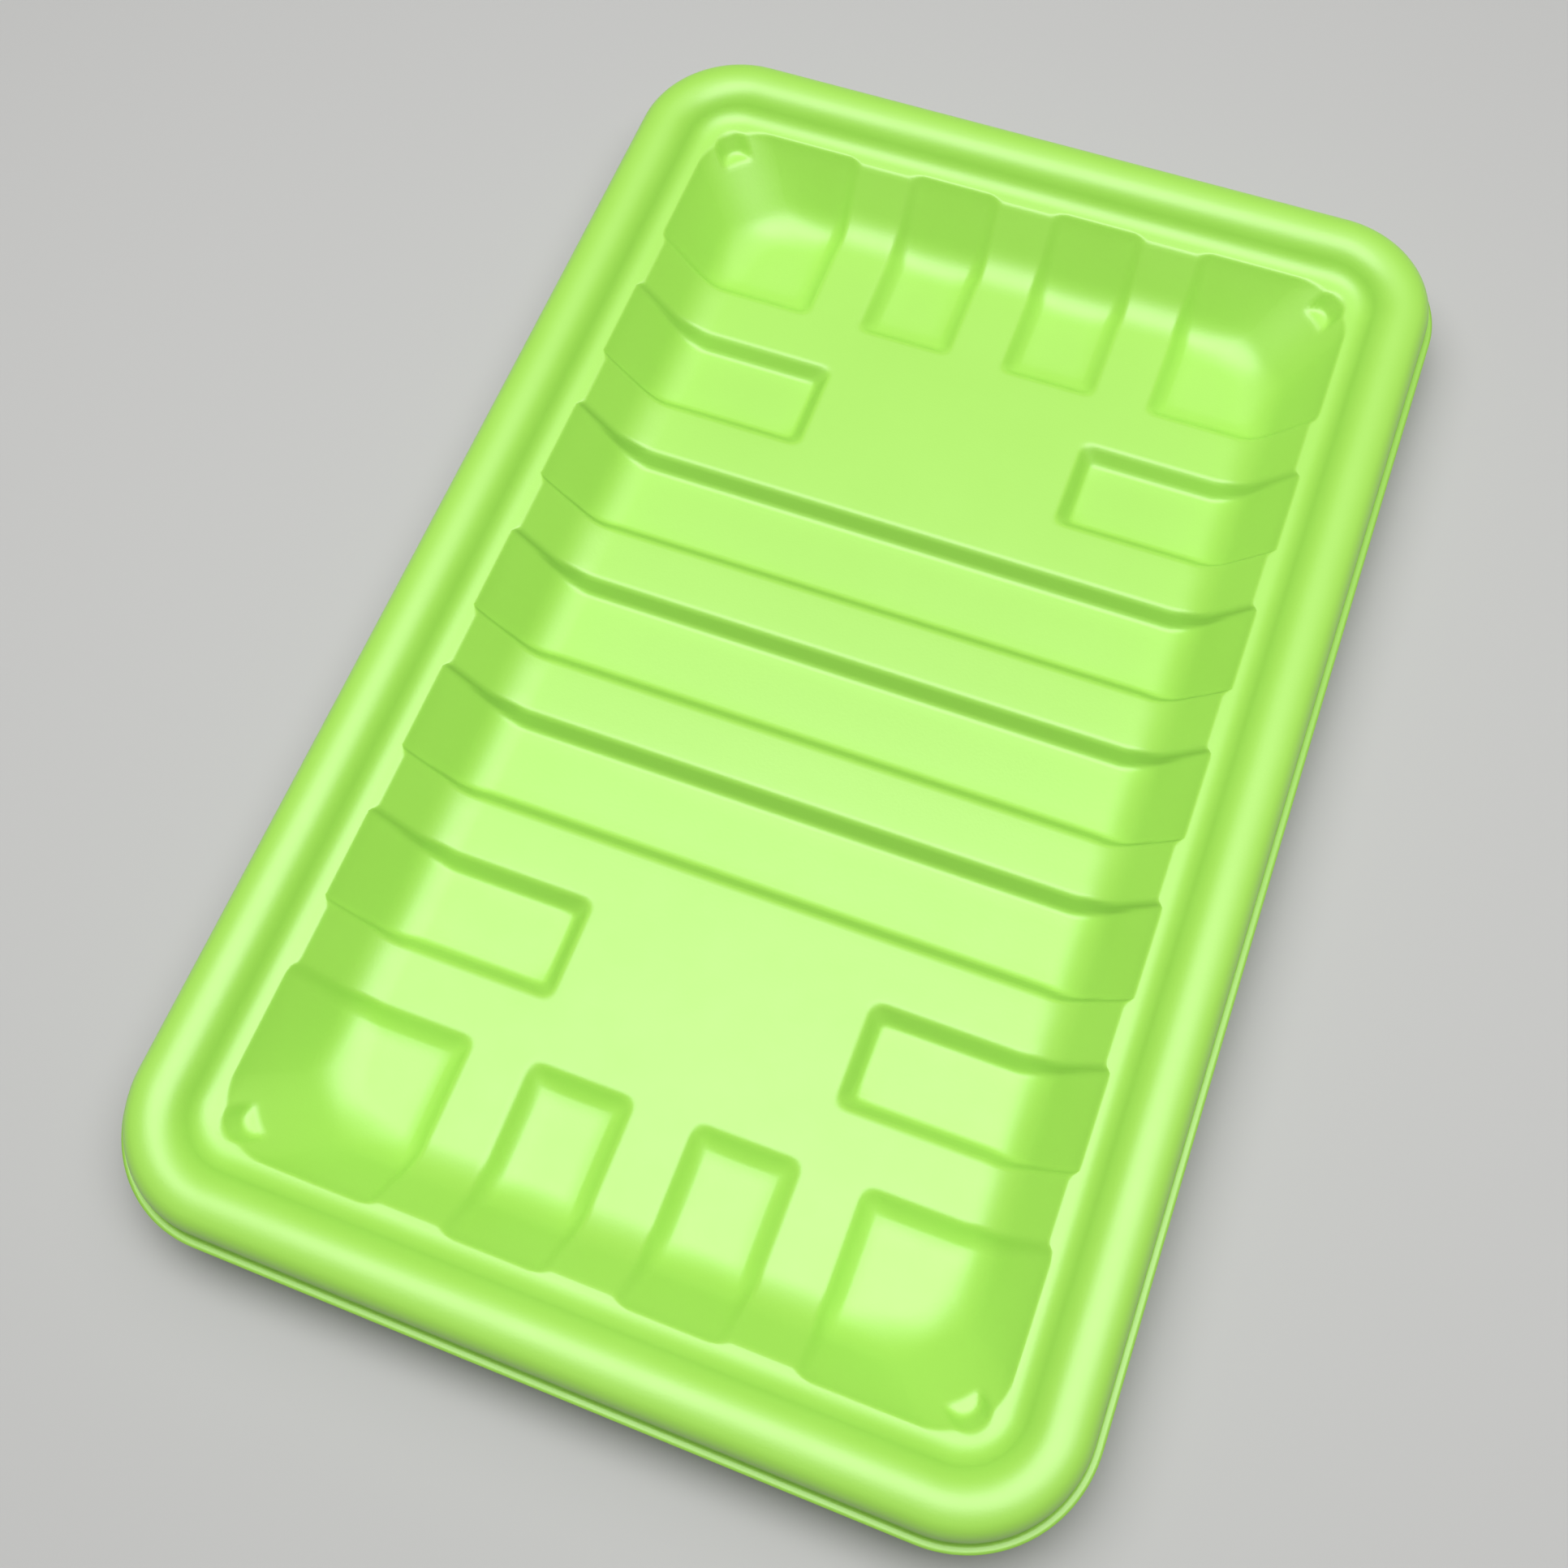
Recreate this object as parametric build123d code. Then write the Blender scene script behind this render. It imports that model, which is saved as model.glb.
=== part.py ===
from build123d import *
from math import cos, radians, sin, sqrt
import os

os.makedirs("parts", exist_ok=True)

# Driving dimensions, millimetres and degrees
sheet = 0.5                # thickness of the formed sheet
recess_pitch = 22.85       # spacing of the grooves and pads, along and across
recess_width = 14.3        # width of a groove or pad where it meets the ledge
floor_flare = 0.1          # how far each side of a recess stands out further on the floor
side_reach = 15.725        # last pitch line to the ledge opening, across
end_reach = 16.45          # last pitch line to the ledge opening, along
corner_r = 11.2            # rolling radius of the slanting basin corners
floor_drop = 8.0           # ledge down to the raised floor
wall_angle = 50.0          # slope of the raised walls from level
wall_foot_r = 5.2          # blend of raised wall and raised floor
recess_out = 0.9           # how far a recess stands out at the ledge
recess_drop = 2.2          # recess floor below the raised floor
recess_angle = 57.0        # slope of the recessed walls from level
recess_foot_r = 6.0        # blend of recessed wall and recess floor
side_draft = 0.9           # run of a recess side for each unit of depth
side_foot_r = 6.4          # bend of a recess side where it turns up the wall
upper_edge_r = 0.8         # rounding of the upper recess edges
lower_edge_r = 0.9         # rounding of the lower recess edges
pad_corner_r = 1.4         # plan rounding at the inner end of a pad
side_pad_length = 30.0     # side pad from the ledge opening to its inner end
ledge_edge_r = 0.6         # rounding where the ledge turns into the wall
ledge_flat = 1.7           # flat of the ledge outside the rib line
rim_inset = 4.0            # centres of the rim corner arcs inside the ledge opening
bead_foot_r = 1.6          # hollow blend from the ledge into the bead
bead_slope = 60.0          # slope of the inner side of the bead
bead_slope_run = 0.75      # level run of the straight inner slope
bead_inner_r = 4.5         # rounding from the inner slope to the crest
bead_crown_r = 5.8         # gentle crown outside the crest
bead_crown_turn = 22.0     # turn of the gentle crown
bead_shoulder_r = 2.8      # outer shoulder of the bead
bead_skirt = 88.0          # slope of the outer skirt
skirt_foot_r = 0.4         # hollow blend from the skirt into the flange
flange_drop = 1.0          # flange below the ledge
flange_width = 0.79        # level flange beyond the foot of the skirt
lug_offset = 1.0           # corner pocket centre from the rim corner centre, each way
lug_r = 2.9                # radius of the corner pocket at the ledge
lug_floor_r = 1.6          # radius of the corner pocket at its floor
lug_drop = 2.5             # depth of the corner pocket
lug_foot_r = 0.5           # rounding round the floor of the corner pocket

# Derived sizes
ledge_half_x = 1.5 * recess_pitch + side_reach # half width of the ledge opening, at the ribs
ledge_half_y = 3 * recess_pitch + end_reach    # half length of the ledge opening, at the ribs
rim_corner_x = ledge_half_x - rim_inset        # centre of the rim corner arcs, across
rim_corner_y = ledge_half_y - rim_inset        # centre of the rim corner arcs, along
over = 0.3                                     # cutters stand this far above the ledge
deep = recess_drop + 2.0                       # cutter depth below the raised floor
reach = 2.0 * ledge_half_y                     # longer than any cut needs to be
base_z = floor_drop + recess_drop + sheet      # ledge height above the resting plane
ledge_inner = 0.875 * rim_inset                # ledge stock inside the rib line, trimmed by the basin
wall_out = sin(radians(wall_angle))            # normal of a raised wall, outward part
wall_down = cos(radians(wall_angle))           # normal of a raised wall, downward part


def stock(depth):
    """Block over one quarter of the tray, from just above the ledge down to depth."""
    place = (Align.MIN, Align.MIN, Align.MAX)
    return Pos(0, 0, over) * Box(reach, reach, depth + over, align=place)


def cut(body, origin, normal, grow):
    """What lies behind a plane that has been moved out by grow."""
    return split(body, bisect_by=Plane(origin, z_dir=normal).offset(grow), keep=Keep.BOTTOM)


def slanting(body):
    """Edges of body that run along none of the three main planes."""
    return body.edges().filter_by(lambda e: min(abs(v) for v in e.tangent_at(0.5)) > 0.02)


def is_hip(edge):
    """True for a slanting edge that runs at 45 degrees in plan, between two sides of a pad."""
    way = edge.tangent_at(0.5)
    return abs(abs(way.X) - abs(way.Y)) < 1e-3


def basin(out, drop, angle, foot_r, grow):
    """Quarter of a sloped basin with a rounded corner and a blended foot."""
    lean = sin(radians(angle))
    fall = -cos(radians(angle))
    body = stock(drop + grow)
    body = cut(body, (ledge_half_x + out, 0, 0), (lean, 0, fall), grow)
    body = cut(body, (0, ledge_half_y + out, 0), (0, lean, fall), grow)
    body = fillet(slanting(body), corner_r + grow)
    foot = body.faces().sort_by(Axis.Z)[0].edges()
    foot = foot.filter_by(lambda e: min((e @ 0.5).X, (e @ 0.5).Y) > 1e-4)
    return fillet(foot, foot_r + grow)


def recess(sides, grow):
    """Cutter for a groove or pad, whose drafted sides follow the floor and the walls.

    Each side is given by the way it faces in plan and its place where it meets the ledge.
    """
    body = stock(floor_drop + deep)
    for way_x, way_y, place in sides:
        if way_y:
            floor_spot = (0, place + way_y * floor_flare, -floor_drop)
            wall_spot = (ledge_half_x, place, 0)
            climb = (side_draft * wall_out, way_y, -side_draft * wall_down)
        else:
            floor_spot = (place + way_x * floor_flare, 0, -floor_drop)
            wall_spot = (place, ledge_half_y, 0)
            climb = (way_x, side_draft * wall_out, -side_draft * wall_down)
        body = cut(body, floor_spot, (way_x, way_y, -side_draft), grow)
        body = cut(body, wall_spot, climb, grow)
    body = fillet(slanting(body).filter_by(is_hip, reverse=True), side_foot_r + grow)
    hips = slanting(body).filter_by(is_hip)
    return fillet(hips, pad_corner_r + grow) if hips else body


def cutters(grow):
    """Grooves and pads of one quarter, before they are trimmed to depth."""
    half = recess_width / 2
    corner_x = 1.5 * recess_pitch - half
    corner_y = 3 * recess_pitch - half
    layout = [
        [(0, 1, half)],
        [(0, -1, recess_pitch - half), (0, 1, recess_pitch + half)],
        [(0, -1, 2 * recess_pitch - half), (0, 1, 2 * recess_pitch + half),
         (-1, 0, ledge_half_x - side_pad_length)],
        [(-1, 0, recess_pitch / 2 - half), (1, 0, recess_pitch / 2 + half), (0, -1, corner_y)],
        [(-1, 0, corner_x), (0, -1, corner_y)],
    ]
    return [recess(sides, grow) for sides in layout]


def lies_on(face, skin):
    """True where the middle of a face is on the surface of skin."""
    spot = Vertex(*face.center())
    return min(other.distance_to(spot) for other in skin.faces()) < 1e-4


def is_cut(face):
    """True for the level top and for the two middle planes."""
    way = face.normal_at()
    return max(way.Z, -way.X, -way.Y) > 0.9999


def border(body, skin):
    """Edges where faces of body on skin meet its other faces."""
    first = set()
    other = set()
    for face in body.faces():
        if not is_cut(face):
            group = first if lies_on(face, skin) else other
            group.update(face.edges())
    return ShapeList(first & other)


def pocket(grow):
    """Round pocket at the top of a basin corner."""
    centre = rim_corner_x + lug_offset
    along = rim_corner_y + lug_offset
    taper = (lug_r - lug_floor_r) / lug_drop
    wide = grow * sqrt(1 + taper ** 2)
    rings = [
        Pos(centre, along, over) * Circle(lug_r + taper * over + wide),
        Pos(centre, along, -lug_drop - grow) * Circle(lug_floor_r - taper * grow + wide),
    ]
    body = loft(rings, ruled=True)
    foot = body.faces().sort_by(Axis.Z)[0].edges()
    return fillet(foot, lug_foot_r)


def hollow(grow):
    """Space inside the basin in one quarter, grown by the sheet for its underside."""
    raised = basin(0, floor_drop, wall_angle, wall_foot_r, grow)
    low = basin(recess_out, floor_drop + recess_drop, recess_angle, recess_foot_r, grow)
    body = raised
    for cutter in cutters(grow):
        dip = cutter & low
        body = body + fillet(border(dip, low), lower_edge_r + grow)
    upper_r = upper_edge_r - grow
    return fillet(border(body, raised), upper_r) if upper_r > sheet else body


def rim_path(shift):
    """Points and edges of the rim line from the ledge to the flange, moved down by shift."""
    fall = radians(bead_skirt)
    rise = radians(bead_slope)
    crown = radians(bead_crown_turn)
    slope = bead_slope_run / cos(rise)
    crest = (bead_foot_r + bead_inner_r) * (1 - cos(rise)) + slope * sin(rise)
    shoulder = crest - bead_crown_r * (1 - cos(crown)) - bead_shoulder_r * (cos(crown) - cos(fall))
    skirt = (shoulder + flange_drop - skirt_foot_r * (1 - cos(fall))) / sin(fall)
    steps = [
        (ledge_flat + ledge_inner, 0, 0),
        (0, bead_foot_r, bead_slope),
        (slope, 0, 0),
        (0, bead_inner_r, -bead_slope),
        (0, bead_crown_r, -bead_crown_turn),
        (0, bead_shoulder_r, bead_crown_turn - bead_skirt),
        (skirt, 0, 0),
        (0, skirt_foot_r, bead_skirt),
    ]
    here = Vector(-ledge_inner, -shift)
    heading = 0.0
    edges = []
    for length, radius, turn in steps:
        if turn:
            bend = radius + shift if turn > 0 else radius - shift
            side = 1 if turn > 0 else -1
            centre = here + Vector(0, side * bend).rotate(Axis.Z, heading)
            half = centre - Vector(0, side * bend).rotate(Axis.Z, heading + turn / 2)
            last = centre - Vector(0, side * bend).rotate(Axis.Z, heading + turn)
            edges.append(ThreePointArc(here, half, last))
            heading += turn
        else:
            last = here + Vector(length, 0).rotate(Axis.Z, heading)
            edges.append(Line(here, last))
        here = last
    last = here + Vector(flange_width, 0)
    edges.append(Line(here, last))
    return edges, last


def rim():
    """Ledge, bead and flange of one quarter."""
    upper, tip = rim_path(0)
    lower, toe = rim_path(sheet)
    root = Line((-ledge_inner, -sheet), (-ledge_inner, 0))
    section = make_face(Wire(upper + [Line(tip, toe)] + lower + [root]))
    side = Plane(origin=(ledge_half_x, 0, 0), x_dir=(1, 0, 0), z_dir=(0, -1, 0))
    end = Plane(origin=(0, ledge_half_y, 0), x_dir=(0, 1, 0), z_dir=(1, 0, 0))
    long_side = extrude(side * section, -rim_corner_y)
    short_end = extrude(end * section, rim_corner_x)
    turn = Axis((rim_corner_x, rim_corner_y, 0), (0, 0, 1))
    bend = revolve(side.offset(-rim_corner_y) * section, turn, 90)
    return long_side + bend + short_end


def ledge_edges(body, skin):
    """Edges where the level ledge breaks into the basin."""
    ledge = body.faces().filter_by(Axis.Z).filter_by_position(Axis.Z, -over, over)
    edges = ledge.edges()
    walls = skin.faces()
    return edges.filter_by(lambda e: min(w.distance_to(Vertex(*(e @ 0.5))) for w in walls) < 1e-4)


# One quarter of the sheet, its ledge edge eased, then mirrored twice
space = hollow(0)
below = Pos(0, 0, -sheet / 2 - reach / 2) * Box(3 * reach, 3 * reach, reach)
quarter = (rim() + ((hollow(sheet) + pocket(sheet)) & below)) - space
quarter = fillet(ledge_edges(quarter, space), ledge_edge_r)
quarter = quarter - pocket(0)
half = quarter + mirror(quarter, about=Plane.YZ)
tray = half + mirror(half, about=Plane.XZ)
tray = Pos(0, 0, base_z) * tray
tray.label = "tray"
export_step(tray, "parts/tray.step")
box = tray.bounding_box()
print("tray", round(tray.volume, 1), tray.is_valid, len(tray.solids()), len(tray.faces()), box.size)
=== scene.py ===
"""Formed plastic food tray: its thin sheet, its finish and a plain studio stage."""
from math import cos, radians, sin, sqrt, tan

import bpy
import numpy as np
from bpy.props import FloatProperty, FloatVectorProperty, PointerProperty
from bpy.types import Operator, Panel, PropertyGroup
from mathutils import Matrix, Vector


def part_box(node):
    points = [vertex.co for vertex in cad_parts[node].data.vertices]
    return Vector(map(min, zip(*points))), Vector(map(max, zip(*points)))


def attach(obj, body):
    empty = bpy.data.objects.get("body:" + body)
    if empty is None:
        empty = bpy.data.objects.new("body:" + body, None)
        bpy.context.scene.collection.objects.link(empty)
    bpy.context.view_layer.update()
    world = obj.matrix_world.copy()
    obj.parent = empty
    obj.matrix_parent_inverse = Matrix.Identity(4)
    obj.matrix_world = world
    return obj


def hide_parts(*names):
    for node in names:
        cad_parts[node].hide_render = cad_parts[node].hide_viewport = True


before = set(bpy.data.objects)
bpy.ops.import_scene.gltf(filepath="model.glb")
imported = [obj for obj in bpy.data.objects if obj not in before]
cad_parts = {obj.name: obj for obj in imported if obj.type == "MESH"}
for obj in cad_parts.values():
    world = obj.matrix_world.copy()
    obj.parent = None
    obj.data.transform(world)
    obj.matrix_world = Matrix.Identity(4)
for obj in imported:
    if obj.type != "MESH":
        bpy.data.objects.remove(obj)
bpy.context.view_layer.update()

bl_info = {
    "name": "Formed food tray",
    "version": (1, 0, 0),
    "blender": (4, 5, 0),
    "location": "3D View > Sidebar > Tray",
    "description": "Thin formed tray with a grooved basin and a rolled rim",
    "category": "Object",
}

MM = 0.001
NODE = "tray"
BODY = "root"
BOX_LOW, BOX_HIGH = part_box(NODE)
PHOTO_SIDE = 1932           # width and height of the photograph in pixels
SIDE_SHADE = "side_shade"             # point attribute with the share of shade painted on the recess sides
SIDE_MARGIN = 0.7 * MM      # fine mesh lines beyond both edges of a recess side
FIXED_MARGIN = 3.0 * MM     # mesh lines past the last recess side that keep their place
NET_CORNER = 6.0 * MM       # corner radius of the floor's net
NET_MARGIN = 10.0 * MM      # floor's net inside the rib line
CORNER_LINES = 14           # mesh lines in each corner of the net
FLOOR_REACH = 4.0           # stage floor from its middle to its edges


def length(name, description, default):
    """Property for a size in metres."""
    return FloatProperty(name=name, description=description, default=default, min=0.0,
                         precision=5, unit="LENGTH")


def angle(name, description, default):
    """Property for an angle, given here in degrees."""
    return FloatProperty(name=name, description=description, default=radians(default), unit="ROTATION")


def share(name, description, default):
    """Property for a plain number between 0 and 1."""
    return FloatProperty(name=name, description=description, default=default, min=0.0, max=1.0,
                         subtype="FACTOR")


def power(name, description, default):
    """Property for the power of a light."""
    return FloatProperty(name=name, description=description, default=default, min=0.0, unit="POWER")


def metres(name, description, default):
    """Property for a place, or for the widths of a light."""
    return FloatVectorProperty(name=name, description=description, default=default, size=len(default),
                               precision=5, unit="LENGTH")


def colour(name, description, default):
    """Property for a colour."""
    return FloatVectorProperty(name=name, description=description, default=default, size=3,
                               min=0.0, max=1.0, subtype="COLOR")


class TraySizes(PropertyGroup):
    """Sizes of the formed sheet."""
    sheet: length("Sheet", "Thickness of the formed sheet", 0.5 * MM)
    flange_end: length("Flange end", "Rib line to the flange edge", 12.916 * MM)
    pitch: length("Pitch", "Spacing of the grooves and pads", 22.85 * MM)
    width: length("Width", "Width of a groove or pad where it meets the ledge", 14.3 * MM)
    flare: length("Flare", "How far each side of a recess stands out further on the floor", 0.1 * MM)
    pad_length: length("Side pad", "Ledge opening to the inner end of a side pad", 30.0 * MM)
    corner_r: length("Corner", "Plan radius of the basin corners at the ledge", 8.9 * MM)
    corner_growth: FloatProperty(name="Corner growth", default=0.35, min=0.0,
                                 description="Growth of the corner radius for each unit inwards")
    floor_drop: length("Floor drop", "Ledge down to the raised floor", 8.0 * MM)
    wall_angle: angle("Wall angle", "Slope of the raised walls", 50.0)
    wall_foot_r: length("Wall foot", "Blend of raised wall and floor", 8.0 * MM)
    recess_out: length("Recess out", "Recess outside the rib line at the ledge", 0.9 * MM)
    recess_drop: length("Recess drop", "Recess floor below the raised floor", 2.2 * MM)
    recess_angle: angle("Recess angle", "Slope of the recessed walls", 53.3)
    recess_foot_r: length("Recess foot", "Blend of recessed wall and recess floor", 7.0 * MM)
    corner_foot_r: length("Corner foot", "Blend of wall and floor in the basin corners", 4.5 * MM)
    draft: FloatProperty(name="Draft", description="Run of a recess side for each unit of depth",
                         default=0.85, min=0.1)
    side_bend: length("Side bend", "Softness where a recess side turns up the wall", 2.8 * MM)
    upper_soft: length("Upper edges", "Softness of the upper recess edges", 0.5 * MM)
    lower_soft: length("Lower edges", "Softness of the lower recess edges", 0.55 * MM)
    end_soft: length("End pad edges", "Softness of the lower edges of the end pads", 1.6 * MM)
    pad_soft: length("Pad corners", "Softness of the corners of the pads", 2.0 * MM)
    ledge_edge_r: length("Ledge edge", "Rounding where the ledge turns into the wall", 0.6 * MM)
    ledge_flat: length("Ledge", "Ledge outside the rib line, as far as the bead's foot", 1.3 * MM)
    ledge_tilt: angle("Ledge tilt", "Rise of the ledge towards the bead", 7.0)
    rim_inset: length("Rim inset", "Centres of the rim corners inside the rib line", 4.0 * MM)
    bead_foot_r: length("Bead foot", "Hollow blend from the ledge into the bead", 3.34 * MM)
    bead_slope: angle("Bead slope", "Slope of the inner side of the bead", 60.0)
    bead_slope_run: length("Bead run", "Level run of the straight inner slope", 0.10 * MM)
    bead_inner_r: length("Bead inside", "Rounding from the inner slope to the crest", 4.5 * MM)
    bead_crown_r: length("Bead crown", "Gentle crown outside the crest", 5.8 * MM)
    bead_crown_turn: angle("Crown turn", "Turn of the gentle crown", 22.0)
    bead_shoulder_r: length("Bead shoulder", "Outer shoulder of the bead", 2.8 * MM)
    bead_skirt: angle("Skirt slope", "Slope of the outer skirt", 88.0)
    skirt_foot_r: length("Skirt foot", "Hollow blend from the skirt into the flange", 0.4 * MM)
    flange_drop: length("Flange drop", "Flange below the ledge", 1.0 * MM)
    # The two shares below set how much shade is painted on the groove sides and on the side pad sides
    groove_side_shade: share("Groove sides", "How thin the sides of the grooves are drawn", 0.9)
    pad_side_shade: share("Side pad sides", "How thin the sides of the side pads are drawn", 0.45)
    pocket_offset: length("Pocket offset", "Corner pocket centre from the rim corner centre", 0.9 * MM)
    pocket_r: length("Pocket", "Radius of a corner pocket at the ledge", 2.9 * MM)
    pocket_floor_r: length("Pocket floor", "Radius of a corner pocket at its floor", 2.2 * MM)
    pocket_drop: length("Pocket drop", "Depth of a corner pocket", 2.6 * MM)
    pocket_soft: length("Pocket edges", "Softness of the pocket's upper edges", 0.2 * MM)
    pocket_bowl: length("Pocket bowl", "Softness of the pocket's foot", 0.6 * MM)
    pocket_lean: length("Pocket lean", "How far a pocket's floor is set in from its mouth", 1.2 * MM)
    side_bow: length("Side bow", "How far the long sides bow in at their middle", 0.25 * MM)
    fine: length("Fine step", "Spacing of the mesh lines on the groove and pad sides", 0.46 * MM)
    coarse: length("Coarse step", "Spacing of the mesh lines on the flats", 1.9 * MM)


class TrayFinish(PropertyGroup):
    """Colours and gloss of the sheet."""
    green: colour("Green", "Colour of the sheet", (0.375, 0.745, 0.098))
    pale: colour("Pale green", "Colour that the sheet drifts to", (0.395, 0.77, 0.112))
    # Colour of the shade painted on the recess sides
    painted_shade: colour("Thin green", "Colour where the sheet is drawn thinnest", (0.30, 0.615, 0.082))
    rough: share("Roughness", "Roughness of the satin sheet", 0.39)
    rough_change: share("Roughness change", "How much the roughness changes over the sheet", 0.10)
    gloss: share("Gloss", "Strength of the sheet's reflections", 0.8)
    bump: share("Bump", "Strength of the grain and waves", 0.35)
    grain_depth: length("Grain depth", "Depth of the grain", 0.03 * MM)


class StageSettings(PropertyGroup):
    """Floor, lights and camera."""
    floor: colour("Floor", "Colour of the plain floor", (0.50, 0.50, 0.49))
    camera_place: metres("Camera", "Camera place", (40.35 * MM, -101.08 * MM, 225.37 * MM))
    camera_turn: FloatVectorProperty(
        name="Camera turn", description="Camera rotation", subtype="EULER", unit="ROTATION",
        default=(radians(23.45), radians(2.136), radians(20.998)))
    focal_pixels: FloatProperty(name="Focal length", default=2186.2, min=1.0,
                                description="Focal length in pixels of the square photograph")
    key_place: metres("Key place", "Place of the key light", (0.0, -0.005, 0.56))
    key_widths: metres("Key widths", "Widths of the oval key light", (0.80, 0.42))
    key_power: power("Key power", "Power of the key light", 3.2)
    wide_place: metres("Wide place", "Place of the wide dim light", (0.0, 0.14, 0.62))
    wide_widths: metres("Wide widths", "Widths of the wide dim light", (1.0, 1.0))
    wide_power: power("Wide power", "Power of the wide dim light", 2.25)
    sky: share("Sky", "Strength of the even light from all around", 0.03)


# Shape of the sheet

def soft_min(first, second, soft):
    """Lower of two heights, blended by a parabola where they differ by less than soft."""
    soft = np.maximum(soft, 1e-9)
    part = np.clip(0.5 + 0.5 * (second - first) / soft, 0.0, 1.0)
    return second + (first - second) * part - soft * part * (1.0 - part)


def soft_max(first, second, soft):
    """Higher of two heights, blended in the same way."""
    return -soft_min(-first, -second, soft)


def inside(x, y, half_x, half_y, corner, growth):
    """Level distance in from a rectangle whose corner radius grows with that distance: in a
    corner, the larger root of the quadratic that puts the place on the corner's arc."""
    gap_x = half_x - np.abs(x)
    gap_y = half_y - np.abs(y)
    nearest = np.minimum(gap_x, gap_y)
    square = 2 * (1 + growth) ** 2 - growth ** 2
    middle = (1 + growth) * (2 * corner - gap_x - gap_y) - growth * corner
    rest = (corner - gap_x) ** 2 + (corner - gap_y) ** 2 - corner ** 2
    turned = (np.sqrt(np.maximum(middle ** 2 - square * rest, 0.0)) - middle) / square
    return np.where(np.abs(gap_x - gap_y) < corner + growth * nearest, turned, nearest)


def wall_height(inward, slope, drop, top_r, foot_r):
    """Height across a wall: level ledge, arc, straight slope, arc, level floor."""
    half = tan(slope / 2)
    top_start = -top_r * half
    floor_start = drop / tan(slope) + foot_r * half
    top = np.sqrt(np.maximum(top_r ** 2 - (inward - top_start) ** 2, 0.0)) - top_r
    foot = foot_r - drop - np.sqrt(np.maximum(foot_r ** 2 - (inward - floor_start) ** 2, 0.0))
    limits = [
        inward < top_start,
        inward < top_start + top_r * sin(slope),
        inward < floor_start - foot_r * sin(slope),
        inward < floor_start,
    ]
    return np.select(limits, [0.0 * inward, top, -inward * tan(slope), foot], -drop)


class Layout:
    """Places that follow from the sizes."""

    def __init__(self, sizes):
        self.half_x = BOX_HIGH[0] - sizes.flange_end
        self.half_y = BOX_HIGH[1] - sizes.flange_end
        self.ledge_z = sizes.floor_drop + sizes.recess_drop + sizes.sheet
        half = sizes.width / 2
        pitch = sizes.pitch
        end = 3 * pitch - half
        pad_end = self.half_x - sizes.pad_length
        foot, end_foot = sizes.lower_soft, sizes.end_soft
        groove, pad = sizes.groove_side_shade, sizes.pad_side_shade
        # Middle groove, outer grooves, side pads, end pads and corner pads in one quarter. Each has
        # the softness of its foot, the share of shade painted on its sides, and the sides, each with
        # the axis that it crosses, the way it faces and its place.
        self.recesses = [
            (foot, groove, [("y", 1, half)]),
            (foot, groove, [("y", -1, pitch - half), ("y", 1, pitch + half)]),
            (foot, pad, [("y", -1, 2 * pitch - half), ("y", 1, 2 * pitch + half), ("x", -1, pad_end)]),
            (end_foot, 0.0, [("x", -1, pitch / 2 - half), ("x", 1, pitch / 2 + half), ("y", -1, end)]),
            (end_foot, 0.0, [("x", -1, 1.5 * pitch - half), ("y", -1, end)]),
        ]
        self.edges_x = self.edges("x")
        self.edges_y = self.edges("y")

    def edges(self, axis):
        """Sorted places of the recess sides that cross an axis, with the way each faces."""
        every = [side for foot, side_shade, sides in self.recesses for side in sides]
        found = {(place, way) for name, way, place in every if name == axis}
        return sorted(found)


def recess_height(x, y, sides, sizes, layout):
    """Height of a recess's drafted sides: for each side, the higher of a plane that falls
    away from its edge on the floor and one that falls away from its edge on the wall."""
    height = None
    for axis, way, place in sides:
        across, along, limit = (y, x, layout.half_x) if axis == "y" else (x, y, layout.half_y)
        rise = way * (across - place) / sizes.draft
        on_floor = rise - sizes.flare / sizes.draft - sizes.floor_drop
        on_wall = (rise + (along - limit) * sin(sizes.wall_angle)) / cos(sizes.wall_angle)
        side = soft_max(on_floor, on_wall, sizes.side_bend)
        height = side if height is None else soft_max(height, side, sizes.pad_soft)
    return height


def basin_levels(x, y, sizes, layout):
    """Heights over the ledge of the raised basin and of the low basin round it, whose wall meets
    the floor in a tighter blend towards the diagonal of each corner."""
    out = sizes.recess_out
    near = np.clip(1.0 - np.abs(layout.half_x - x - layout.half_y + y) / sizes.corner_r, 0.0, 1.0)
    near = near ** 2 * (3.0 - 2.0 * near)
    low_foot = sizes.recess_foot_r + (sizes.corner_foot_r - sizes.recess_foot_r) * near
    growth = sizes.corner_growth
    raised_in = inside(x, y, layout.half_x, layout.half_y, sizes.corner_r, growth)
    low_in = inside(x, y, layout.half_x + out, layout.half_y + out, sizes.corner_r, growth)
    edge_r = sizes.ledge_edge_r
    low_drop = sizes.floor_drop + sizes.recess_drop
    raised = wall_height(raised_in, sizes.wall_angle, sizes.floor_drop, edge_r, sizes.wall_foot_r)
    low = wall_height(low_in, sizes.recess_angle, low_drop, edge_r, low_foot)
    return raised, low


def side_shade_share(x, y, sizes, layout):
    """Share of painted shade, from 0 to 1: on the side of a recess, seven times the product
    of the shares of its depth above and below the place, at most 1, by the recess's own share. It
    fades out where the recess is less than half of its full depth."""
    x = np.abs(x)
    y = np.abs(y)
    raised, low = basin_levels(x, y, sizes, layout)
    depth = np.maximum(raised - low, 0.1 * sizes.recess_drop)
    fade = np.clip((raised - low) / (0.5 * sizes.recess_drop), 0.0, 1.0)
    total = np.zeros_like(x)
    for foot, side_shade, sides in layout.recesses:
        part = np.clip((recess_height(x, y, sides, sizes, layout) - low) / depth, 0.0, 1.0)
        total = np.maximum(total, side_shade * fade * np.minimum(7.0 * part * (1.0 - part), 1.0))
    return total


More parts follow.
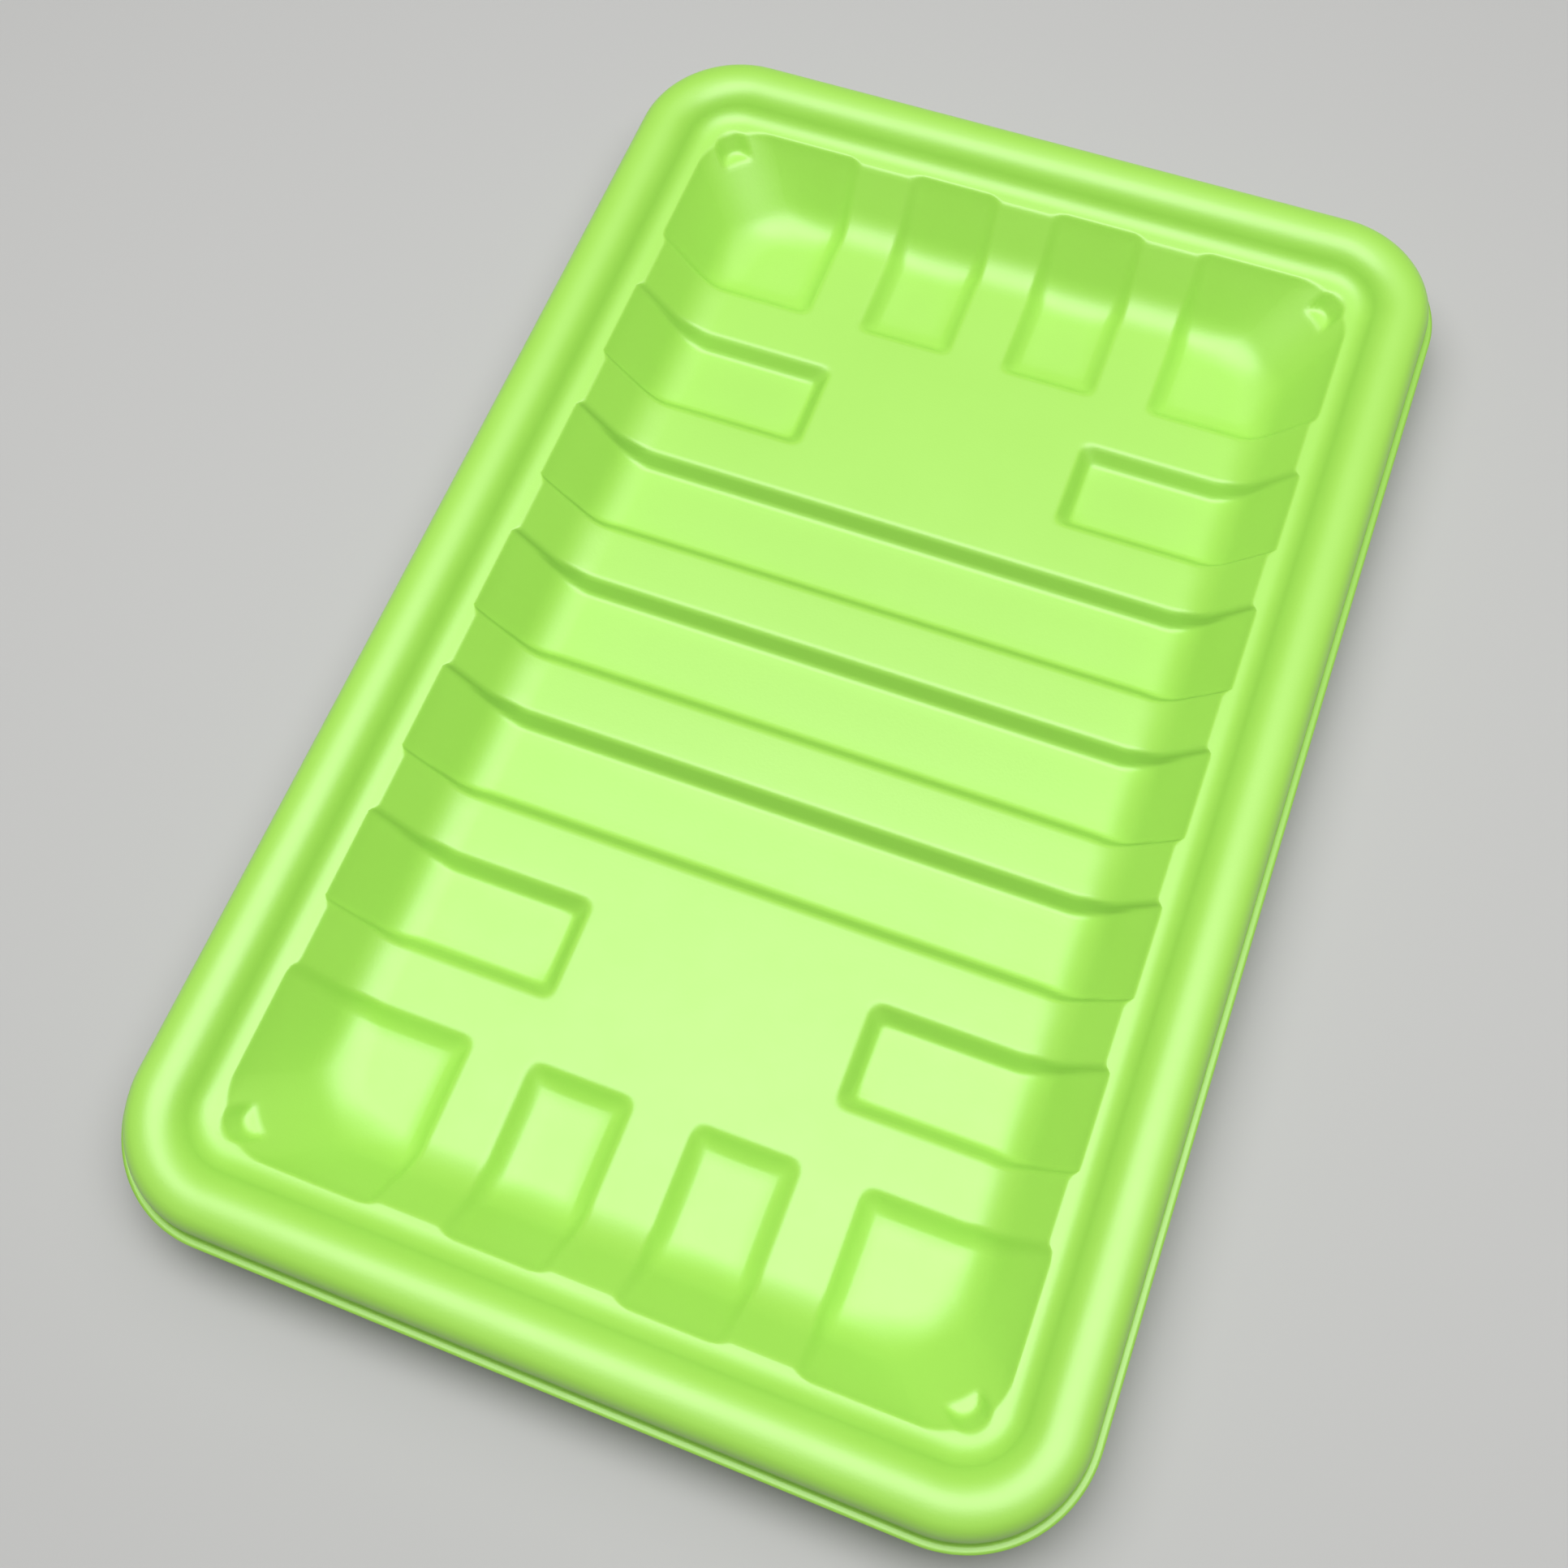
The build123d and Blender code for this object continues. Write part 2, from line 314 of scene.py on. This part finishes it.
def pocket_height(x, y, sizes):
    """Height of a corner pocket round its centre: a cone that narrows with its depth and leans in
    towards the basin, found as the root of a quadratic in the depth, with a level floor."""
    lean = sizes.pocket_lean / sizes.pocket_drop
    narrow = (sizes.pocket_r - sizes.pocket_floor_r) / sizes.pocket_drop
    square = lean ** 2 - narrow ** 2
    middle = lean * (x + y) / sqrt(2) + narrow * sizes.pocket_r
    root = middle ** 2 - square * (x ** 2 + y ** 2 - sizes.pocket_r ** 2)
    side = (middle - np.sqrt(np.maximum(root, 0.0))) / square
    pocket = soft_max(side, -sizes.pocket_drop + 0.0 * side, sizes.pocket_bowl)
    return np.where(root > 0.0, pocket, sizes.pocket_drop)


def basin_height(x, y, sizes, layout):
    """Height over the ledge of the basin's upper side: the raised basin, lowered inside each
    recess to the higher of the low basin and the recess's sides, and then inside the pockets.
    Softness is measured upright, so it grows where an edge climbs the wall."""
    x = np.abs(x)
    y = np.abs(y)
    raised, low = basin_levels(x, y, sizes, layout)
    climb = np.clip((raised + sizes.floor_drop) / (0.4 * sizes.floor_drop), 0.0, 1.0)
    steep = 1.0 + (1.0 / cos(sizes.wall_angle) - 1.0) * climb
    depth = raised - low
    height = raised
    for foot, side_shade, sides in layout.recesses:
        dip = soft_max(low, recess_height(x, y, sides, sizes, layout), foot * steep)
        height = soft_min(height, dip, np.minimum(sizes.upper_soft * steep, 0.7 * np.abs(depth)))
    centre_x = layout.half_x - sizes.rim_inset + sizes.pocket_offset
    centre_y = layout.half_y - sizes.rim_inset + sizes.pocket_offset
    pocket = pocket_height(x - centre_x, y - centre_y, sizes)
    return soft_min(height, pocket, sizes.pocket_soft)


def rim_profile(sizes):
    """Rim line from the bead's foot to the flange edge, as level distance and height: arcs and
    straights laid end to end, each starting in the direction in which the last one ended."""
    rise, crown, fall = sizes.bead_slope, sizes.bead_crown_turn, sizes.bead_skirt
    tilt = sizes.ledge_tilt
    start = sizes.ledge_flat * tan(tilt)
    slope = sizes.bead_slope_run / cos(rise)
    crest = (start + sizes.bead_foot_r * (cos(tilt) - cos(rise)) + slope * sin(rise)
             + sizes.bead_inner_r * (1 - cos(rise)))
    shoulder = (crest - sizes.bead_crown_r * (1 - cos(crown))
                - sizes.bead_shoulder_r * (cos(crown) - cos(fall)))
    skirt = (shoulder + sizes.flange_drop - sizes.skirt_foot_r * (1 - cos(fall))) / sin(fall)
    # Each step: its radius, or its length where it is straight, its turn and its mesh lines
    steps = [
        (sizes.bead_foot_r, rise - tilt, 6),
        (slope, 0.0, 1),
        (sizes.bead_inner_r, -rise, 7),
        (sizes.bead_crown_r, -crown, 3),
        (sizes.bead_shoulder_r, crown - fall, 7),
        (skirt, 0.0, 1),
        (sizes.skirt_foot_r, fall, 4),
    ]
    away = [np.array([sizes.ledge_flat])]
    up = [np.array([start])]
    heading = tilt
    for size, turn, count in steps:
        part = np.linspace(0.0, 1.0, count + 1)[1:]
        if turn:
            radius = size if turn > 0 else -size
            step_away = radius * (np.sin(heading + turn * part) - sin(heading))
            step_up = radius * (cos(heading) - np.cos(heading + turn * part))
        else:
            step_away = size * cos(heading) * part
            step_up = size * sin(heading) * part
        away.append(away[-1][-1] + step_away)
        up.append(up[-1][-1] + step_up)
        heading += turn
    away.append(np.linspace(away[-1][-1], sizes.flange_end, 3)[1:])
    up.append(np.full(2, up[-1][-1]))
    return np.concatenate(away), np.concatenate(up)


def mesh_lines(edges, centre, sizes):
    """Places of the mesh lines across one half, fine on the recess sides and coarse elsewhere."""
    run = sizes.recess_drop * sizes.draft
    zones = []
    for place, way in edges:
        upper = place + way * (sizes.flare + SIDE_MARGIN)
        lower = place - way * (run - sizes.flare + SIDE_MARGIN)
        start, stop = sorted((upper, lower))
        if zones and start < zones[-1][1] + sizes.fine:
            zones[-1][1] = stop
        else:
            zones.append([start, stop])
    stops = [0.0] + [stop for zone in zones for stop in zone] + [centre]
    runs = []
    for index, (start, stop) in enumerate(zip(stops[:-1], stops[1:])):
        step = sizes.fine if index % 2 else sizes.coarse
        count = max(2, int(np.ceil((stop - start) / step)))
        runs.append(np.linspace(start, stop, count + 1)[:-1])
    half = np.concatenate(runs + [[centre]])
    return np.concatenate([-half[:0:-1], half])


class Grid:
    """Rectangular net of mesh lines whose corners are drawn round.

    Along each axis a line has a straight part, its place between the corner centres, and a bend,
    0 on the straights and up to 1 at the outer loop. A corner square is turned into a quarter disc:
    each bend is shortened by the root of one less half the square of the other.
    """

    def __init__(self, sizes, layout):
        self.centre_x = layout.half_x - NET_MARGIN - NET_CORNER
        self.centre_y = layout.half_y - NET_MARGIN - NET_CORNER
        self.straight_x, bend_x = self.lines(layout.edges_x, self.centre_x, sizes)
        self.straight_y, bend_y = self.lines(layout.edges_y, self.centre_y, sizes)
        flat_x, flat_y = np.meshgrid(bend_x, bend_y, indexing="ij")
        self.bend_x = flat_x * np.sqrt(1.0 - flat_y ** 2 / 2)
        self.bend_y = flat_y * np.sqrt(1.0 - flat_x ** 2 / 2)
        self.shape = self.bend_x.shape
        self.fixed_x = layout.edges_x[-1][0] + FIXED_MARGIN
        self.fixed_y = layout.edges_y[-1][0] + FIXED_MARGIN
        index = np.arange(self.bend_x.size).reshape(self.shape)
        self.index = index
        self.loop = np.concatenate([index[:-1, 0], index[-1, :-1], index[:0:-1, -1], index[0, :0:-1]])

    @staticmethod
    def lines(edges, centre, sizes):
        """Straight parts and bends of the lines along one axis."""
        straight = mesh_lines(edges, centre, sizes)
        bend = np.linspace(0.0, 1.0, CORNER_LINES + 1)[1:]
        ends = np.full(CORNER_LINES, centre)
        straight = np.concatenate([-ends, straight, ends])
        bend = np.concatenate([-bend[::-1], np.zeros(len(straight) - 2 * CORNER_LINES), bend])
        return straight, bend

    @staticmethod
    def stretched(straight, fixed, old, new):
        """Lines beyond the fixed ones spread out so that the last one reaches a new centre."""
        far = np.maximum(np.abs(straight) - fixed, 0.0)
        return straight + np.sign(straight) * far * ((new - fixed) / (old - fixed) - 1.0)

    def net(self):
        """Plan places of the floor's net."""
        x = self.straight_x[:, None] + NET_CORNER * self.bend_x
        y = self.straight_y[None, :] + NET_CORNER * self.bend_y
        return x.ravel(), y.ravel()

    def ring(self, centre_x, centre_y, radius):
        """Plan places of a loop round the net, with its own corner centres and radius."""
        line_x = self.stretched(self.straight_x, self.fixed_x, self.centre_x, centre_x)
        line_y = self.stretched(self.straight_y, self.fixed_y, self.centre_y, centre_y)
        spread_x = np.broadcast_to(line_x[:, None], self.shape).ravel()[self.loop]
        spread_y = np.broadcast_to(line_y[None, :], self.shape).ravel()[self.loop]
        x = spread_x + radius * self.bend_x.ravel()[self.loop]
        y = spread_y + radius * self.bend_y.ravel()[self.loop]
        return np.stack([x, y], axis=1)


def rib_share(x, y, sizes, layout):
    """1 where a rib meets the ledge at a place on the ledge's loop, 0 where a recess does."""
    on_side = np.abs(x) - layout.half_x > np.abs(y) - layout.half_y
    turn = sizes.recess_out * sizes.draft
    share_x = np.ones_like(x)
    share_y = np.ones_like(x)
    for foot, side_shade, sides in layout.recesses:
        gap_x = np.full_like(x, -1.0)
        gap_y = np.full_like(x, -1.0)
        for axis, way, place in sides:
            if axis == "x":
                gap_x = np.maximum(gap_x, way * (np.abs(x) - place))
            else:
                gap_y = np.maximum(gap_y, way * (np.abs(y) - place))
        share_x = np.minimum(share_x, np.clip(1.0 + gap_x / turn, 0.0, 1.0))
        share_y = np.minimum(share_y, np.clip(1.0 + gap_y / turn, 0.0, 1.0))
    return np.where(on_side, share_y, share_x)


# Shares of the way at which the loops lie, up the wall from the floor's net to the ledge's edge and
# on from there to the bead's foot
WALL_STEPS = np.concatenate([
    np.linspace(0.0, 0.54, 11)[1:],
    np.linspace(0.54, 0.66, 3)[1:],
    np.linspace(0.66, 0.93, 9)[1:],
    [0.945, 0.96, 0.973, 0.985, 1.0],
])
LEDGE_STEPS = np.array([0.07, 0.15, 0.25, 0.42, 0.68, 1.0])


def upper_side(sizes, layout):
    """Points of the sheet's upper side, with the quads of the floor's net and the loops that run
    from it up the wall, over the ledge and round the rim to the flange edge. Outside the rib line
    the ledge is lifted by its distance from it times the tangent of its tilt."""
    grid = Grid(sizes, layout)
    net_x, net_y = grid.net()
    floor = np.stack([net_x, net_y, basin_height(net_x, net_y, sizes, layout)], axis=1)
    foot = grid.ring(grid.centre_x, grid.centre_y, NET_CORNER)
    edge_r = sizes.corner_r
    edge_x = layout.half_x + sizes.recess_out - edge_r
    edge_y = layout.half_y + sizes.recess_out - edge_r
    plain = grid.ring(edge_x, edge_y, edge_r)
    inset = sizes.recess_out * rib_share(plain[:, 0], plain[:, 1], sizes, layout)
    edge = grid.ring(edge_x, edge_y, edge_r - inset)
    rim_x = layout.half_x - sizes.rim_inset
    rim_y = layout.half_y - sizes.rim_inset
    bead = grid.ring(rim_x, rim_y, sizes.rim_inset + sizes.ledge_flat)
    wall = foot + (edge - foot) * WALL_STEPS[:, None, None]
    ledge = edge + (bead - edge) * LEDGE_STEPS[:, None, None]
    loops = np.concatenate([wall, ledge])
    height = basin_height(loops[..., 0], loops[..., 1], sizes, layout)
    beyond = np.maximum(np.abs(loops) - [rim_x, rim_y], 0.0)
    out = np.hypot(beyond[..., 0], beyond[..., 1]) - sizes.rim_inset
    height = height + tan(sizes.ledge_tilt) * np.maximum(out, 0.0)
    loops = np.concatenate([loops, height[..., None]], axis=2)
    away, up = rim_profile(sizes)
    rim = np.stack([grid.ring(rim_x, rim_y, sizes.rim_inset + step) for step in away[1:]])
    rim_up = np.broadcast_to(up[1:, None, None], (len(rim), len(bead), 1))
    rim = np.concatenate([rim, rim_up], axis=2)
    points = np.concatenate([floor, loops.reshape(-1, 3), rim.reshape(-1, 3)])
    points[:, 2] += layout.ledge_z
    index = grid.index
    quads = [index[:-1, :-1], index[1:, :-1], index[1:, 1:], index[:-1, 1:]]
    quads = np.stack(quads, axis=-1).reshape(-1, 4)
    outer = np.arange(index.size, len(points)).reshape(-1, len(grid.loop))
    return points, quads, np.concatenate([grid.loop[None, :], outer])


def ring_quads(rings):
    """Quads between each loop and the next one out."""
    after = np.roll(rings, -1, axis=1)
    return np.stack([rings[:-1], rings[1:], after[1:], after[:-1]], axis=-1).reshape(-1, 4)


def point_normals(points, quads):
    """Unit normals at the points: the sum of the cross products of each quad's diagonals."""
    corner = points[quads]
    cross = np.cross(corner[:, 2] - corner[:, 0], corner[:, 3] - corner[:, 1])
    total = np.zeros_like(points)
    for column in range(4):
        np.add.at(total, quads[:, column], cross)
    return total / np.linalg.norm(total, axis=1, keepdims=True)


def bowed(points, sizes):
    """The long sides drawn in towards their middle, by a parabola along the tray that grows
    with the square of the distance from the middle line."""
    along = 1.0 - (points[:, 1] / BOX_HIGH[1]) ** 2
    across = np.sign(points[:, 0]) * (points[:, 0] / BOX_HIGH[0]) ** 2
    moved = points.copy()
    moved[:, 0] -= sizes.side_bow * along * across
    return moved


def tray_mesh(sizes):
    """Closed sheet: the upper side, the same points moved back by the sheet along their normals,
    with every other loop of the underside left out, and a strip along the flange edge. The last
    array gives the share of painted shade at each point."""
    layout = Layout(sizes)
    points, floor, rings = upper_side(sizes, layout)
    # Share of painted shade at each point
    side_shade = side_shade_share(points[:, 0], points[:, 1], sizes, layout)
    points = bowed(points, sizes)
    upper = np.concatenate([floor, ring_quads(rings)])
    under = points - sizes.sheet * point_normals(points, upper)
    under[:, 2] = np.maximum(under[:, 2], BOX_LOW[2])
    shift = len(points)
    last = len(rings) - 1
    kept = np.unique(np.append(np.arange(0, last, 2), last))
    lower = np.concatenate([floor, ring_quads(rings[kept])]) + shift
    strip = ring_quads(np.stack([rings[-1], rings[-1] + shift]))
    faces = np.concatenate([upper, lower[:, ::-1], strip])
    used, faces = np.unique(faces, return_inverse=True)
    return np.concatenate([points, under])[used], faces.reshape(-1, 4), np.tile(side_shade, 2)[used]


def add_mesh(name, points, quads):
    """Smooth mesh object from arrays of points and quads."""
    mesh = bpy.data.meshes.new(name)
    mesh.vertices.add(len(points))
    mesh.vertices.foreach_set("co", points.astype(np.float32).ravel())
    mesh.loops.add(quads.size)
    mesh.loops.foreach_set("vertex_index", quads.astype(np.int32).ravel())
    mesh.polygons.add(len(quads))
    mesh.polygons.foreach_set("loop_start", np.arange(0, quads.size, 4, dtype=np.int32))
    mesh.polygons.foreach_set("use_smooth", np.ones(len(quads), dtype=bool))
    mesh.update(calc_edges=True)
    if mesh.validate():
        raise RuntimeError(f"{name} has faces that Blender had to mend")
    piece = bpy.data.objects.new(name, mesh)
    bpy.context.scene.collection.objects.link(piece)
    return piece


# Finishes

class Socket:
    """A node's output whose arithmetic adds Math nodes."""

    def __init__(self, finish, link):
        self.finish = finish
        self.link = link

    def math(self, operation, *values):
        """A Math node on values or sockets."""
        return self.finish.node("ShaderNodeMath", {"operation": operation}, dict(enumerate(values)))

    def __add__(self, other):
        return self.math("ADD", self, other)

    def __radd__(self, other):
        return self.math("ADD", other, self)

    def __sub__(self, other):
        return self.math("SUBTRACT", self, other)

    def __rsub__(self, other):
        return self.math("SUBTRACT", other, self)

    def __mul__(self, other):
        return self.math("MULTIPLY", self, other)

    def __rmul__(self, other):
        return self.math("MULTIPLY", other, self)

    def limited(self):
        """The value held between 0 and 1."""
        return self.finish.node("ShaderNodeClamp", {}, {"Value": self})


class Finish:
    """A material and its node tree."""

    def __init__(self, name):
        self.material = bpy.data.materials.new(name)
        self.material.use_nodes = True
        self.tree = self.material.node_tree
        self.shader = self.tree.nodes["Principled BSDF"]

    def node(self, kind, settings, sockets, output=0):
        """A node with its settings and then its sockets, which take values or other sockets."""
        node = self.tree.nodes.new(kind)
        for name, value in settings.items():
            setattr(node, name, value)
        self.fill(node, sockets)
        return Socket(self, node.outputs[output])

    def fill(self, node, sockets):
        """Values and links put into a node's sockets."""
        for name, value in sockets.items():
            if isinstance(value, Socket):
                self.tree.links.new(value.link, node.inputs[name])
            else:
                node.inputs[name].default_value = value

    def surface(self, **sockets):
        """Sockets of the shader itself, named with underscores for spaces."""
        self.fill(self.shader, {name.replace("_", " "): value for name, value in sockets.items()})

    def place(self):
        """Place on the piece."""
        return self.node("ShaderNodeTexCoord", {}, {}, "Object")

    def noise(self, scale, detail=2.0, roughness=0.5):
        """Cloudy noise from 0 to 1 over the piece."""
        return self.node("ShaderNodeTexNoise", {}, {
            "Vector": self.place(), "Scale": scale, "Detail": detail, "Roughness": roughness}, "Fac")

    def mix(self, factor, first, second):
        """Colour between two others."""
        sockets = {0: factor, 6: first, 7: second}
        return self.node("ShaderNodeMix", {"data_type": "RGBA"}, sockets, 2)


def opaque(rgb):
    """Colour with full alpha, as a colour socket takes it."""
    return (*rgb, 1.0)


# Scales of the noise patterns
DRIFT_SCALE = 38.0
CLOUD_SCALE = 150.0
GRAIN_SCALE = 2600.0
WAVE_SCALE = 90.0


def sheet_finish(colours):
    """Satin lime sheet: colour that drifts a little, painted shade that darkens the recess sides,
    uneven gloss, a fine grain and faint waves."""
    finish = Finish("lime_sheet")
    drift = finish.noise(DRIFT_SCALE, 3.0)
    base = finish.mix((drift * 1.6 - 0.3).limited(), opaque(colours.green), opaque(colours.pale))
    # Painted shade: the colour darkens towards the shade colour where the point attribute marks the
    # recess sides
    side_shade = finish.node("ShaderNodeAttribute", {"attribute_name": SIDE_SHADE}, {}, "Fac")
    base = finish.mix(side_shade, base, opaque(colours.painted_shade))
    cloud = finish.noise(CLOUD_SCALE, 4.0, 0.6)
    rough = colours.rough - 0.5 * colours.rough_change + cloud * colours.rough_change
    grain = finish.noise(GRAIN_SCALE, 2.0)
    waves = finish.noise(WAVE_SCALE, 1.0)
    bump = finish.node("ShaderNodeBump", {}, {
        "Strength": colours.bump, "Distance": colours.grain_depth, "Height": grain + waves * 2.0})
    finish.surface(Base_Color=base, Roughness=rough, Normal=bump, Specular_IOR_Level=colours.gloss)
    return finish.material


def floor_finish(rgb):
    """Plain pale floor."""
    finish = Finish("pale_floor")
    finish.surface(Base_Color=opaque(rgb), Roughness=0.85)
    return finish.material


# Operators

class TRAY_OT_form_sheet(Operator):
    """Form the tray from its sizes and give it its finish"""
    bl_idname = "tray.form_sheet"
    bl_label = "Form the sheet"

    def execute(self, context):
        scene = context.scene
        points, faces, side_shade = tray_mesh(scene.tray_sizes)
        piece = add_mesh("tray_sheet", points, faces)
        # Share of painted shade on the recess sides, kept as a point attribute
        painted_shade = piece.data.attributes.new(SIDE_SHADE, "FLOAT", "POINT")
        painted_shade.data.foreach_set("value", side_shade.astype(np.float32))
        piece.data.materials.append(sheet_finish(scene.tray_finish))
        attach(piece, BODY)
        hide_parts(NODE)
        return {"FINISHED"}


def add_light(name, place, widths, energy):
    """Oval soft light that shines straight down from a place."""
    lamp = bpy.data.lights.new(name, "AREA")
    lamp.shape = "ELLIPSE"
    lamp.size, lamp.size_y = widths
    lamp.energy = energy
    light = bpy.data.objects.new(name, lamp)
    light.location = place
    bpy.context.scene.collection.objects.link(light)


class TRAY_OT_set_stage(Operator):
    """Lay the floor and place the lights and the camera"""
    bl_idname = "tray.set_stage"
    bl_label = "Set the stage"

    def execute(self, context):
        scene = context.scene
        stage = scene.tray_stage
        corners = FLOOR_REACH * np.array([[-1, -1, 0], [1, -1, 0], [1, 1, 0], [-1, 1, 0]])
        floor = add_mesh("floor", corners, np.array([[0, 1, 2, 3]]))
        floor.data.materials.append(floor_finish(stage.floor))
        add_light("key_light", stage.key_place, stage.key_widths, stage.key_power)
        add_light("wide_light", stage.wide_place, stage.wide_widths, stage.wide_power)
        world = bpy.data.worlds.new("soft_sky")
        world.use_nodes = True
        sky = world.node_tree.nodes["Background"]
        sky.inputs["Color"].default_value = (1.0, 1.0, 1.0, 1.0)
        sky.inputs["Strength"].default_value = stage.sky
        scene.world = world
        lens = bpy.data.cameras.new("camera")
        lens.sensor_fit = "HORIZONTAL"
        lens.lens = stage.focal_pixels / PHOTO_SIDE * lens.sensor_width
        lens.clip_start = 0.01
        camera = bpy.data.objects.new("camera", lens)
        camera.location = stage.camera_place
        camera.rotation_euler = stage.camera_turn
        scene.collection.objects.link(camera)
        scene.camera = camera
        scene.view_settings.view_transform = "Standard"
        return {"FINISHED"}


class TRAY_PT_tray(Panel):
    """Sizes, finish and stage of the tray"""
    bl_idname = "TRAY_PT_tray"
    bl_label = "Tray"
    bl_space_type = "VIEW_3D"
    bl_region_type = "UI"
    bl_category = "Tray"

    def draw(self, context):
        for name, operator in (("tray_sizes", "tray.form_sheet"), ("tray_finish", ""),
                               ("tray_stage", "tray.set_stage")):
            box = self.layout.box()
            settings = getattr(context.scene, name)
            for key in settings.__annotations__:
                box.prop(settings, key)
            if operator:
                box.operator(operator)


CLASSES = (TraySizes, TrayFinish, StageSettings, TRAY_OT_form_sheet, TRAY_OT_set_stage, TRAY_PT_tray)
GROUPS = {"tray_sizes": TraySizes, "tray_finish": TrayFinish, "tray_stage": StageSettings}


def register():
    """Add the classes, and the settings to the scene."""
    for item in CLASSES:
        bpy.utils.register_class(item)
    for name, group in GROUPS.items():
        setattr(bpy.types.Scene, name, PointerProperty(type=group))


def unregister():
    """Take the settings and the classes away again."""
    for name in GROUPS:
        delattr(bpy.types.Scene, name)
    for item in reversed(CLASSES):
        bpy.utils.unregister_class(item)


def main():
    """Make the tray and its stage."""
    register()
    bpy.ops.tray.form_sheet()
    bpy.ops.tray.set_stage()


if __name__ == "__main__":
    main()
